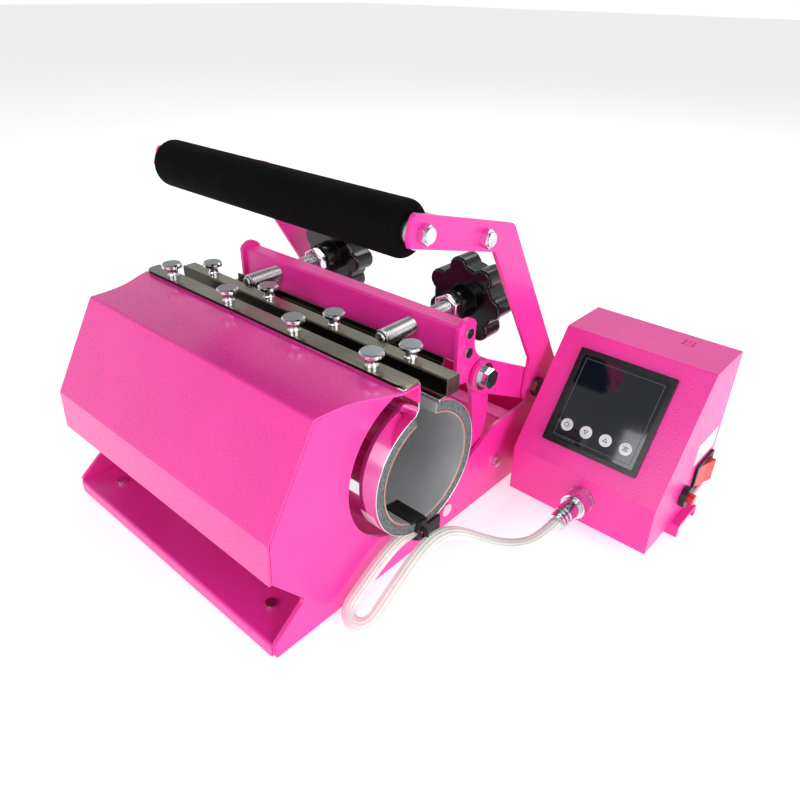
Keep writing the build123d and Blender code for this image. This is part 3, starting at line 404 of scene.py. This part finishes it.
# pale pink colour of the painted reflection on the steel band
PAINTED_PINK_REFLECTION = plastic("band_painted_reflection", (0.72, 0.42, 0.50), 0.35, 0.5, 900.0, 0.00001)
FOAM = grip_foam()
SPONGE = silicone_foam()
LINER = liner_face()
SLEEVE = braided_sleeve()
BOOT = rubber("boot_rubber", (0.008, 0.008, 0.009), 0.45, 0.65)
FEET = rubber("feet_rubber", (0.02, 0.02, 0.02), 0.6, 0.8)
COPPER = brushed_metal("copper_edge", (0.80, 0.36, 0.20), 0.25, 0.4, (1.0, 1.0, 1.0), 0.00001)
BRASS = brass_disc()
BOARD = plastic("board_green", (0.02, 0.12, 0.05), 0.4, 0.5, 900.0, 0.00005)

FINISH = {
    "pink_paint": PAINT, "pink_texture": WRINKLE, "polished_steel": POLISHED, "band_steel": BAND,
    "chrome": CHROME, "zinc": ZINC, "foam_black": FOAM, "knob_black": KNOB, "pad_grey": SPONGE,
    "boot_black": BOOT, "feet_rubber": FEET, "display_black": BEZEL, "button_silver": SILVER,
    "red_plastic": RED, "black_plastic": BLACK, "board_green": BOARD, "brass": BRASS,
    "cable_white": SLEEVE,
}
SPECIAL = {"front_cover": COVER, "link_shaft": SHAFT}
for piece in frame["record"]["subparts"]:
    finish = SPECIAL.get(piece["node"], FINISH[piece["material_slot"]])
    if "thumb_screw" in piece["node"]:
        finish = THUMB
    mesh = nodes[piece["node"]].data
    mesh.materials.clear()
    mesh.materials.append(finish)


# ---- shapes -------------------------------------------------------------------------
def add_mesh(name, verts, faces, material, body, smooth=True):
    mesh = bpy.data.meshes.new(name)
    mesh.from_pydata([tuple(v) for v in verts], [], faces)
    work = bmesh.new()
    work.from_mesh(mesh)
    bmesh.ops.recalc_face_normals(work, faces=work.faces)
    work.to_mesh(mesh)
    work.free()
    mesh.materials.append(material)
    for polygon in mesh.polygons:
        polygon.use_smooth = smooth
    piece = bpy.data.objects.new(name, mesh)
    bpy.context.scene.collection.objects.link(piece)
    if body is not None:
        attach(piece, body)
    return piece


def loft(loops, closed=False, capped=True):
    """Vertices and faces of a skin through equal loops of points."""
    count = len(loops[0])
    verts = [point for loop in loops for point in loop]
    faces = []
    rows = len(loops) if closed else len(loops) - 1
    for row in range(rows):
        here = row * count
        there = ((row + 1) % len(loops)) * count
        for i in range(count):
            j = (i + 1) % count
            faces.append((here + i, here + j, there + j, there + i))
    if capped and not closed:
        faces.append(tuple(range(count)))
        faces.append(tuple(range((len(loops) - 1) * count, len(loops) * count)))
    return verts, faces


def rounded_rectangle(half_u, half_v, radius, steps=4):
    points = []
    for corner, (su, sv) in enumerate(((1, 1), (-1, 1), (-1, -1), (1, -1))):
        for k in range(steps + 1):
            angle = math.radians(90 * corner + 90 * k / steps)
            points.append((su * (half_u - radius) + radius * math.cos(angle),
                           sv * (half_v - radius) + radius * math.sin(angle)))
    return points


def plate(name, outline, place, thickness, material, body, edge=0.0001):
    """Flat plate of the outline on a place (origin, u, v, normal), with a small chamfer round its top."""
    origin, u, v, normal = place
    middle = Vector((sum(p[0] for p in outline), sum(p[1] for p in outline))) / len(outline)

    def ring(height, inset):
        loop = []
        for a, b in outline:
            flat = Vector((a, b)) - middle
            flat = flat * max(0.0, 1.0 - inset / max(flat.length, 1e-9)) + middle
            loop.append(origin + flat.x * u + flat.y * v + height * normal)
        return loop

    verts, faces = loft([ring(0.0, 0.0), ring(thickness - edge, 0.0), ring(thickness, edge)])
    piece = add_mesh(name, verts, faces, material, body, smooth=False)
    return piece


def frames_along(points, start_up):
    """Tangent, side and up at each point, carried along the line without twist."""
    tangents = []
    for i, _ in enumerate(points):
        a = points[max(0, i - 1)]
        b = points[min(len(points) - 1, i + 1)]
        tangents.append((b - a).normalized())
    up = Vector(start_up)
    made = []
    for tangent in tangents:
        up = (up - up.dot(tangent) * tangent).normalized()
        made.append((tangent, tangent.cross(up), up))
    return made


def swept_tube(points, section, start_up=(0.0, 0.0, 1.0), size=None):
    """Skin of a section (list of (side, up)) along points; size gives a factor at each point."""
    loops = []
    for i, (point, (_, side, up)) in enumerate(zip(points, frames_along(points, start_up))):
        factor = 1.0 if size is None else size[i]
        loops.append([point + factor * (a * side + b * up) for a, b in section])
    return loft(loops)


def smooth_line(name, control, resolution=24):
    """Points of a NURBS line through the control polygon's ends."""
    curve = bpy.data.curves.new(name, "CURVE")
    curve.dimensions = "3D"
    curve.resolution_u = resolution
    spline = curve.splines.new("NURBS")
    spline.points.add(len(control) - 1)
    for slot_point, point in zip(spline.points, control):
        slot_point.co = (*point, 1.0)
    spline.order_u = 3
    spline.use_endpoint_u = True
    holder = bpy.data.objects.new(name, curve)
    bpy.context.scene.collection.objects.link(holder)
    bpy.context.view_layer.update()
    mesh = bpy.data.meshes.new_from_object(holder)
    points = [v.co.copy() for v in mesh.vertices]
    bpy.data.objects.remove(holder)
    bpy.data.meshes.remove(mesh)
    return points


# ---- heating mat ----------------------------------------------------------------------
AXIS_Z = 85.0
MAT_HALF = 132.0
FRONT_ANGLE = 90.0 + math.degrees(math.asin(13.0 / 46.4))
REAR_ANGLE = 450.0 - math.degrees(math.asin(8.0 / 46.4))


def arc_stations(radius, start, end, step=2.0):
    """Stations (point, outward direction) in the (Y, Z) plane about the heater axis, in mm."""
    count = max(2, int(abs(end - start) / step) + 1)
    made = []
    for i in range(count):
        angle = math.radians(start + (end - start) * i / (count - 1))
        out = Vector((math.cos(angle), math.sin(angle)))
        made.append((Vector((0.0, AXIS_Z)) + radius * out, out))
    return made


def strip(name, stations, low, high, half_length, corner, material, slot, x_range=None):
    """Bent strip along X: at each station it fills low..high along the outward direction."""
    x0, x1 = x_range or (-half_length, half_length)
    middle = ((low + high) / 2, (x0 + x1) / 2)
    section = rounded_rectangle((high - low) / 2, (x1 - x0) / 2, corner, 3)
    loops = []
    for point, out in stations:
        loop = []
        for a, x in section:
            reach = a + middle[0]
            loop.append(Vector((x + middle[1], point.x + reach * out.x, point.y + reach * out.y)) * MM)
        loops.append(loop)
    verts, faces = loft(loops)
    return add_mesh(name, verts, faces, material, None)


def hang_on_jaw(piece, *replaced):
    """Bakes the piece's placement into its mesh and hides the CAD parts it replaces."""
    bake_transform(piece)
    if replaced:
        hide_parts(*replaced)
    return piece


def band_stations():
    """Middle line of the band: front tab, fold, ring and rear tab, in mm."""
    up = Vector((0.0, 1.0))
    tab = [(Vector((y, 151.4)), up) for y in (-24.0, -20.0, -16.0, -12.2)]
    fold = []
    for k in range(1, 5):
        angle = math.radians(90 - 90 * k / 5)
        out = Vector((math.cos(angle), math.sin(angle)))
        fold.append((Vector((-11.2, 150.2)) + 1.2 * out, out))
    down = [(Vector((-10.0, z)), Vector((1.0, 0.0))) for z in (150.0, 145.0, 140.0, 135.0, 132.6)]
    ring = arc_stations(46.0, FRONT_ANGLE, REAR_ANGLE, 2.0)
    front = [(point, -out) for point, out in tab + fold + down]
    last = ring[-1][0]
    rear = [(Vector((y, 131.1)), up) for y in (last.x + 1.2, 12.0, 17.0, 24.0)]
    return front, ring, rear


front_tab, ring_line, rear_tab = band_stations()
mat_band = strip("mat_band", front_tab + ring_line + rear_tab, -0.4, 0.4, MAT_HALF, 0.3, BAND, "band_steel")
hang_on_jaw(mat_band, "front_mat_band", "rear_mat_band")

pad_line = arc_stations(0.0, FRONT_ANGLE, REAR_ANGLE, 2.0)
mat_sponge = strip("mat_sponge", pad_line, 39.3, 45.5, MAT_HALF, 0.9, SPONGE, "pad_grey")
hang_on_jaw(mat_sponge, "front_heating_pad", "rear_heating_pad")
mat_copper = strip("mat_copper", pad_line, 38.75, 39.35, MAT_HALF - 0.15, 0.1, COPPER, "pad_grey")
hang_on_jaw(mat_copper)
LINER_R = (38.0, 38.8)
liner_line = list(pad_line)
end_out = pad_line[-1][1]
end_along = Vector((-end_out.y, end_out.x))
for reach in (38.9, 41.0, 43.2, 45.3):
    edge_point = Vector((0.0, AXIS_Z)) + reach * end_out + 0.45 * end_along
    liner_line.append((edge_point + 38.4 * end_along, -end_along))
mat_liner = strip("mat_liner", liner_line, *LINER_R, MAT_HALF - 0.4, 0.3, LINER, "pad_grey")
hang_on_jaw(mat_liner)
# painted reflection: a pale pink patch on the steel band next to the right side plate, standing in for the
# frame's reflection
band_pink_reflection = strip("band_pink_reflection", arc_stations(0.0, 196.0, 222.0, 2.0), 46.42, 46.56, 6.0, 0.06, PAINTED_PINK_REFLECTION,
                  "band_steel", x_range=(117.5, 128.5))
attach(band_pink_reflection, "frame")
# painted shadow: a thin black sheet on the inside bottom of the bore near its right end
bore_painted_shadow = strip("bore_painted_shadow", arc_stations(0.0, 246.0, 269.0, 2.0), 37.35, 38.05, 12.0, 0.25, BOOT,
                   "boot_black", x_range=(108.0, 132.4))
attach(bore_painted_shadow, "frame")


# ---- heater lead ------------------------------------------------------------------------
CABLE_POINTS = [
    (0.1258, 0.0020, 0.0338), (0.1258, -0.0080, 0.0338), (0.1256, -0.0210, 0.0344),
    (0.1254, -0.0360, 0.0284), (0.1252, -0.0510, 0.0189), (0.1248, -0.0660, 0.0092),
    (0.1350, -0.0710, 0.0059), (0.1452, -0.0660, 0.0089), (0.1452, -0.0510, 0.0182),
    (0.1448, -0.0350, 0.0276), (0.1442, -0.0200, 0.0350), (0.1435, -0.0060, 0.0374),
    (0.1445, 0.0080, 0.0355), (0.1500, 0.0210, 0.0290), (0.1610, 0.0310, 0.0225),
    (0.1740, 0.0380, 0.0220), (0.1860, 0.0450, 0.0270), (0.1905, 0.0570, 0.0314),
    (0.1905, 0.0686, 0.0314),
]
RIBS = 12
RIB_DEPTH = 0.00024
SLEEVE_R = 0.00430
SLEEVE_FLAT = (0.66, 1.16)   # how much the sleeve is pressed flat, across and along X
cable_line = smooth_line("cable_line", CABLE_POINTS)
ribbed = []
for k in range(RIBS * 6):
    turn = 2 * math.pi * k / (RIBS * 6)
    reach = SLEEVE_R + RIB_DEPTH * math.cos(RIBS * turn)
    ribbed.append((SLEEVE_FLAT[0] * reach * math.cos(turn), SLEEVE_FLAT[1] * reach * math.sin(turn)))
cable_verts, cable_faces = swept_tube(cable_line, ribbed, (1.0, 0.0, 0.2))
heater_lead = add_mesh("heater_lead", cable_verts, cable_faces, SLEEVE, "frame")
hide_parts("heater_cable")


# ---- tie of the lead ---------------------------------------------------------------------
def circle_section(radius, count=16):
    return [(radius * math.cos(2 * math.pi * k / count), radius * math.sin(2 * math.pi * k / count))
            for k in range(count)]


TAIL_POINTS = [
    (0.1300, -0.0045, 0.0385), (0.1350, -0.0050, 0.0410), (0.1395, -0.0065, 0.0400),
    (0.1415, -0.0090, 0.0330), (0.1400, -0.0110, 0.0265),
]


def tie_pieces():
    """Black tie round the lead at the end of the mat, with a hanging tail."""
    wrap = []
    for k in range(33):
        turn = 2 * math.pi * k / 32
        wrap.append(Vector((0.1258 + 0.0058 * math.cos(turn), -0.0050 - 0.0009 * math.sin(2 * turn),
                            0.0340 + 0.0058 * math.sin(turn))))
    flat = [(1.9 * a, 0.8 * b) for a, b in circle_section(0.0014)]
    verts, faces = swept_tube(wrap, flat, (0.0, 1.0, 0.0))
    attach(add_mesh("tie_wrap", verts, faces, BOOT, None), "frame")
    tail = smooth_line("tail_line", TAIL_POINTS, 12)
    sizes = [1.0 - 0.75 * (i / (len(tail) - 1)) ** 2 for i in range(len(tail))]
    flat = [(1.7 * a, 0.9 * b) for a, b in circle_section(0.0016)]
    verts, faces = swept_tube(tail, flat, (0.0, 1.0, 0.2), sizes)
    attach(add_mesh("tie_tail", verts, faces, BOOT, None), "frame")


tie_pieces()


# ---- threads and nuts ------------------------------------------------------------------
def threaded_rod(name, middle, y0, y1, radius, pitch, point, body, replaced):
    """Rod along Y with a cut thread: a lathe skin whose radius follows the helix."""
    turns = 36
    step = pitch / 8
    rows = int((y1 - y0) / step)
    loops = []
    depths = []
    for row in range(rows + 1):
        y = y0 + (y1 - y0) * row / rows
        loop = []
        taper = min(1.0, 0.55 + 0.45 * (y - y0) / point)
        for k in range(turns):
            share = k / turns
            phase = (y / pitch - share) % 1.0
            groove = 1.0 - abs(2 * phase - 1.0)
            depths.append(groove)
            reach = taper * (radius - 0.75 * pitch * max(0.0, groove - 0.12) / 0.88)
            angle = 2 * math.pi * share
            loop.append(Vector((middle.x + reach * math.cos(angle), y, middle.z + reach * math.sin(angle))))
        loops.append(loop)
    verts, faces = loft(loops)
    rod = add_mesh(name, verts, faces, THREAD, None, smooth=False)
    # groove depth per point, read by the thread material for the painted shade in the grooves
    groove_layer = rod.data.attributes.new("groove", "FLOAT", "POINT")
    groove_layer.data.foreach_set("value", depths)
    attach(rod, body)
    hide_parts(replaced)


def hex_nut(name, middle, y0, y1, flats, hole, body):
    """Nut along Y with chamfered corners and a countersunk thread hole."""
    corner = flats / math.cos(math.pi / 6)
    count = 72

    def loop(y, scale):
        made = []
        for k in range(count):
            angle = 2 * math.pi * k / count
            inside = ((angle + math.pi / 6) % (math.pi / 3)) - math.pi / 6
            reach = min(flats / math.cos(inside), scale * corner)
            made.append(Vector((middle.x + reach * math.cos(angle), y, middle.z + reach * math.sin(angle))))
        return made

    def round_loop(y, radius):
        return [Vector((middle.x + radius * math.cos(2 * math.pi * k / count), y,
                        middle.z + radius * math.sin(2 * math.pi * k / count))) for k in range(count)]

    depth = y1 - y0
    loops = [round_loop(y0 + 0.15 * depth, hole), round_loop(y0, hole * 1.12), loop(y0, flats / corner),
             loop(y0 + 0.10 * depth, 0.985), loop(y0 + 0.20 * depth, 1.0), loop(y1 - 0.20 * depth, 1.0),
             loop(y1 - 0.10 * depth, 0.985), loop(y1, flats / corner), round_loop(y1, hole)]
    verts, faces = loft(loops, capped=False)
    nut = add_mesh(name, verts, faces, CHROME, None)
    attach(nut, body)


STUD_Z = 0.1455
STUD_R = 0.0060
STUD_PITCH = 0.00175
STUD_POINT = 0.0030          # length of the pointed end
NUT_Y = (0.0900, 0.0980)
NUT_FLATS = 0.0095           # half the width across the flats
NUT_HOLE = 0.0061

for side_name in ("left", "right"):
    low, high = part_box(f"{side_name}_stud")
    middle = (low + high) / 2
    middle.z = STUD_Z
    threaded_rod(f"{side_name}_thread", middle, low.y, high.y, STUD_R, STUD_PITCH, STUD_POINT,
                 f"{side_name}_knob", f"{side_name}_stud")
    hex_nut(f"{side_name}_jam_nut", middle, *NUT_Y, NUT_FLATS, NUT_HOLE, f"{side_name}_knob")


# ---- display, buttons and label ----------------------------------------------------------
RISE, RUN = 80.3, 57.0
SLOPE = math.hypot(RISE, RUN)
SLOPE_U = X_AXIS
SLOPE_N = Vector((0.0, -RISE / SLOPE, RUN / SLOPE))
SLOPE_V = SLOPE_N.cross(SLOPE_U)
ALONG = 50.5 / SLOPE
SLOPE_O = Vector((185.2, 104.6 + ALONG * RUN, 48.3 + ALONG * RISE)) * MM


def on_slope(u, v, height):
    """Place on the sloped panel: u and v in its plane and height above it, in mm."""
    return (SLOPE_O + (u * SLOPE_U + v * SLOPE_V + height * SLOPE_N) * MM, SLOPE_U, SLOPE_V, SLOPE_N)


def slope_outline(points):
    return [(a * MM, b * MM) for a, b in points]


def frame_line(name, half, width, height, thickness, material):
    """Thin square line made of four bars."""
    inner = half - width
    bars = (((-half, inner), (half, half)), ((-half, -half), (half, -inner)),
            ((-half, -inner), (-inner, inner)), ((inner, -inner), (half, inner)))
    for i, ((x0, y0), (x1, y1)) in enumerate(bars):
        outline = slope_outline([(x1, y1), (x0, y1), (x0, y0), (x1, y0)])
        plate(f"{name}_{i}", outline, on_slope(0.0, 0.0, height), thickness * MM, material, "frame",
              edge=0.00002)


glass = slope_outline(rounded_rectangle(32.1, 32.1, 0.8))
plate("display_glass", glass, on_slope(0.0, 0.0, 1.62), 0.0004, WINDOW, "frame", edge=0.0001)

frame_line("display_frame", 29.5, 0.45, 2.02, 0.06, LINE)


SYMBOL_T = 0.00008
BUTTON_TOP = 2.61         # height of the button faces above the panel, in mm
BUTTON_PITCH = 15.0
BUTTON_ROW = -20.2


def ring(name, u, v, outer, inner, height, body):
    """Thin printed ring on the slope, radii in mm."""
    origin, a, b, n = on_slope(u, v, height)
    loops = []
    for k in range(24):
        turn = 2 * math.pi * k / 24
        out = math.cos(turn) * a + math.sin(turn) * b
        far = origin + outer * MM * out
        near = origin + inner * MM * out
        loops.append([far, far + SYMBOL_T * n, near + SYMBOL_T * n, near])
    verts, faces = loft(loops, closed=True)
    add_mesh(name, verts, faces, INK, body, smooth=False)


for index, name in enumerate(("set", "down", "up", "mode")):
    u, v = BUTTON_PITCH * (index - 1.5), BUTTON_ROW
    body = f"{name}_key"
    if name in ("down", "up"):
        sign = 1.0 if name == "up" else -1.0
        outer = [(0.0, 1.8 * sign), (-1.9, -1.4 * sign), (1.9, -1.4 * sign)]
        inner = [(0.0, 0.85 * sign), (-1.05, -0.9 * sign), (1.05, -0.9 * sign)]
        origin, a, b, n = on_slope(u, v, BUTTON_TOP)
        loops = []
        for (ox, oy), (ix, iy) in zip(outer, inner):
            far = origin + (ox * a + oy * b) * MM
            near = origin + (ix * a + iy * b) * MM
            loops.append([far, far + SYMBOL_T * n, near + SYMBOL_T * n, near])
        verts, faces = loft(loops, closed=True)
        add_mesh(f"{name}_symbol", verts, faces, INK, body, smooth=False)
    elif name == "set":
        ring("set_symbol", u, v, 1.8, 1.3, BUTTON_TOP, body)
    else:
        for row, width in enumerate((1.9, 1.3, 1.9)):
            outline = slope_outline([(width, 0.3), (-width, 0.3), (-width, -0.3), (width, -0.3)])
            place = on_slope(u, v + 1.2 - 1.2 * row, BUTTON_TOP)
            plate(f"mode_symbol_{row}", outline, place, SYMBOL_T, INK, body, edge=0.00001)


def side_label():
    """Blank foil label on the right side of the box."""
    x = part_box("control_box_shell")[1].x
    place = (Vector((x, 0.1840, 0.0610)), Y_AXIS, Z_AXIS, X_AXIS)
    outline = [(a * MM, b * MM) for a, b in rounded_rectangle(19.0, 9.0, 1.2)]
    plate("side_label", outline, place, 0.00025, LABEL, "frame", edge=0.0001)


side_label()


GRILLE_CENTRE = (0.2093, 0.1937)
GRILLE_STEP = 0.0032
GRILLE_R = 0.00104
GRILLE_T = 0.0005
GRILLE_SINK = 0.0006


def grille_discs():
    """Brass buzzer plate seen through the nine holes in the top of the box."""
    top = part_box("control_box_shell")[1].z - GRILLE_SINK
    for row in (-1, 0, 1):
        for column in (-1, 0, 1):
            centre = Vector((GRILLE_CENTRE[0] + GRILLE_STEP * column, GRILLE_CENTRE[1] + GRILLE_STEP * row,
                             top - GRILLE_T))
            plate(f"grille_{row}_{column}", circle_section(GRILLE_R, 20), (centre, X_AXIS, Y_AXIS, Z_AXIS),
                  GRILLE_T, BRASS, "frame", edge=0.00005)


grille_discs()


# ---- floor and light ------------------------------------------------------------------
def make_floor():
    half = 12.0
    steps = 8
    verts = []
    for row in range(steps + 1):
        for column in range(steps + 1):
            verts.append((half * (2 * column / steps - 1), half * (2 * row / steps - 1), -0.0002))
    faces = []
    for row in range(steps):
        for column in range(steps):
            a = row * (steps + 1) + column
            faces.append((a, a + 1, a + steps + 2, a + steps + 1))
    mesh = bpy.data.meshes.new("floor")
    mesh.from_pydata(verts, [], faces)
    mesh.materials.append(floor_paper())
    floor = bpy.data.objects.new("floor", mesh)
    bpy.context.scene.collection.objects.link(floor)


def area_light(name, place, target, size, power, color=(1.0, 1.0, 1.0)):
    data = bpy.data.lights.new(name, "AREA")
    data.shape = "RECTANGLE"
    data.size, data.size_y = size
    data.energy = power
    data.color = color
    light = bpy.data.objects.new(name, data)
    light.location = place
    light.rotation_euler = (Vector(target) - Vector(place)).to_track_quat("-Z", "Y").to_euler()
    bpy.context.scene.collection.objects.link(light)


def make_world():
    world = bpy.data.worlds.new("studio")
    world.use_nodes = True
    tree = world.node_tree
    place = tree.nodes.new("ShaderNodeTexCoord")
    split = tree.nodes.new("ShaderNodeSeparateXYZ")
    ramp = tree.nodes.new("ShaderNodeValToRGB")
    tree.links.new(place.outputs["Generated"], split.inputs["Vector"])
    tree.links.new(split.outputs["Z"], ramp.inputs["Fac"])
    ramp.color_ramp.elements[0].position = 0.0
    ramp.color_ramp.elements[0].color = (1.25, 1.25, 1.26, 1.0)
    ramp.color_ramp.elements[1].position = 0.75
    ramp.color_ramp.elements[1].color = (0.30, 0.30, 0.31, 1.0)
    tree.links.new(ramp.outputs["Color"], tree.nodes["Background"].inputs["Color"])
    tree.nodes["Background"].inputs["Strength"].default_value = 0.8
    bpy.context.scene.world = world


make_floor()
make_world()
area_light("key", (0.2, -1.5, 0.9), (0.0, 0.0, 0.1), (1.1, 0.8), 10.0)
area_light("fill", (1.7, -0.1, 0.7), (0.1, 0.05, 0.1), (1.2, 0.9), 17.0)
area_light("back", (-0.3, 1.2, 1.5), (0.0, 0.1, 0.1), (1.4, 0.6), 9.0)
